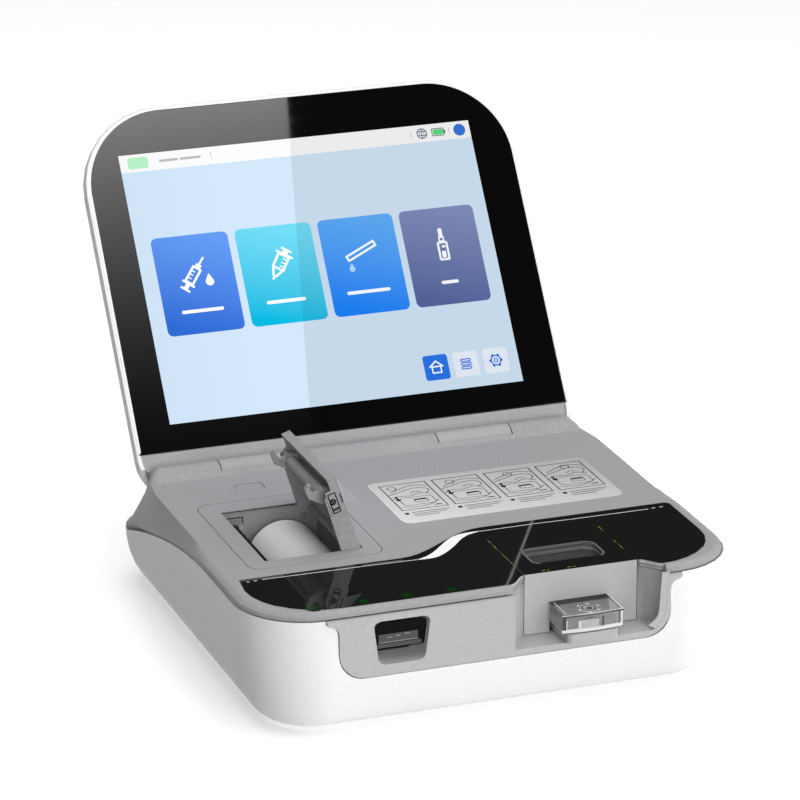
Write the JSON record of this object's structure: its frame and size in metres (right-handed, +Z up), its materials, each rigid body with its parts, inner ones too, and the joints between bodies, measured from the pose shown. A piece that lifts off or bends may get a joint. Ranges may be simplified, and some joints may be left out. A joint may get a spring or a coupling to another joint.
{
  "type": "portable blood gas analyzer",
  "caption": "Portable blood gas analyzer: a white and grey bench unit with a folding touch screen, a paper printer under a flap and a cartridge bay with a sliding cover.",
  "frame": {"origin": "centre of the bounding box's underside, where the feet rest", "axes": "+X to the object's right seen from its front, -Y towards the user, +Z up"},
  "size_m": [0.2104, 0.2795, 0.1863],
  "materials": {
    "white_shell": "fine-grained matte white",
    "grey_shell": "fine-grained matte grey",
    "pale_grey": "fine-grained matte grey",
    "dark_grey": "matte dark grey",
    "black_gloss": "polished black",
    "black_matte": "matte black",
    "glass": "black backed polished glass",
    "screen": "pale blue screen",
    "label": "satin film",
    "clear_smoke": "clear moulded plastic",
    "paper": "smooth",
    "rubber": "matte black",
    "steel": "satin",
    "board": "green laminate",
    "green_lamp": "tinted clear plastic",
    "battery": "shrink film"
  },
  "bodies": {
    "base": {"lower_housing": "white_shell", "upper_housing": "grey_shell", "front_fascia": "pale_grey", "control_panel": "black_gloss", "status_light_guide": "green_lamp", "instruction_label": "label", "cartridge_tray": "pale_grey", "measuring_module": "steel", "valve_motor": "steel", "scanner_frame": "black_matte", "scanner_window": "clear_smoke", "scanner_engine": "dark_grey", "printer_frame": "grey_shell", "paper_roll": "paper", "print_head": "dark_grey", "printer_cover_pin": "steel", "hinge_pin_left": "steel", "hinge_pin_right": "steel", "foot_front_left": "rubber", "foot_front_right": "rubber", "foot_rear_left": "rubber", "foot_rear_right": "rubber", "base_screw_front_left": "steel", "base_screw_front_right": "steel", "base_screw_rear_left": "steel", "base_screw_rear_right": "steel", "main_board": "board", "power_board": "board", "battery_pack": "battery", "speaker": "dark_grey", "rear_port_plate": "dark_grey", "usb_socket": "steel", "network_socket": "steel", "power_inlet": "black_matte"},
    "lid": {"lid_back_shell": "white_shell", "lid_front_bezel": "grey_shell", "touch_glass": "glass", "display_panel": "screen", "display_board": "board"},
    "printer_flap": {"printer_cover": "grey_shell"},
    "flap_roller": {"cover_roller": "grey_shell"},
    "platen": {"platen_roller": "rubber", "platen_gear": "black_matte"},
    "sliding_cover": {"bay_cover": "pale_grey", "bay_cover_film": "black_gloss"},
    "cartridge": {"cartridge_body": "clear_smoke", "cartridge_lid": "clear_smoke", "cartridge_port_seal": "rubber"},
    "release_key": {"printer_release_button": "grey_shell"},
    "power_key": {"power_button": "dark_grey"}
  },
  "joints": [
    {"name": "lid_hinge", "type": "hinge", "parent": "base", "child": "lid", "pos_m": [0, 0.03485, 0.0503], "axis": [1, 0, 0], "range_deg": [-8, 124.5]},
    {"name": "printer_cover_hinge", "type": "hinge", "parent": "base", "child": "printer_flap", "pos_m": [-0.0412, -0.0425, 0.0505], "axis": [0, -1, 0], "range_deg": [-6, 71.5]},
    {"name": "cover_roller_spin", "type": "hinge", "parent": "printer_flap", "child": "flap_roller", "pos_m": [-0.05283, -0.0425, 0.07487], "axis": [0, 1, 0], "continuous": true},
    {"name": "platen_spin", "type": "hinge", "parent": "base", "child": "platen", "pos_m": [-0.0805, -0.0425, 0.0448], "axis": [0, 1, 0], "continuous": true},
    {"name": "bay_cover_slide", "type": "slide", "parent": "base", "child": "sliding_cover", "axis": [0, -1, 0], "range_m": [0, 0.03]},
    {"name": "cartridge_slide", "type": "slide", "parent": "base", "child": "cartridge", "axis": [0, -1, 0], "range_m": [0, 0.045]},
    {"name": "printer_release_press", "type": "slide", "parent": "base", "child": "release_key", "axis": [0, 0, -1], "range_m": [0, 0.0015], "stiffness_N_per_m": 200, "springref_m": -0.002},
    {"name": "power_button_press", "type": "slide", "parent": "base", "child": "power_key", "axis": [0, -1, 0], "range_m": [0, 0.0012], "stiffness_N_per_m": 200, "springref_m": -0.001}
  ],
  "couplings": [
    {"joint": "printer_cover_hinge", "follows": "lid_hinge", "ratio": 0.5741}
  ]
}
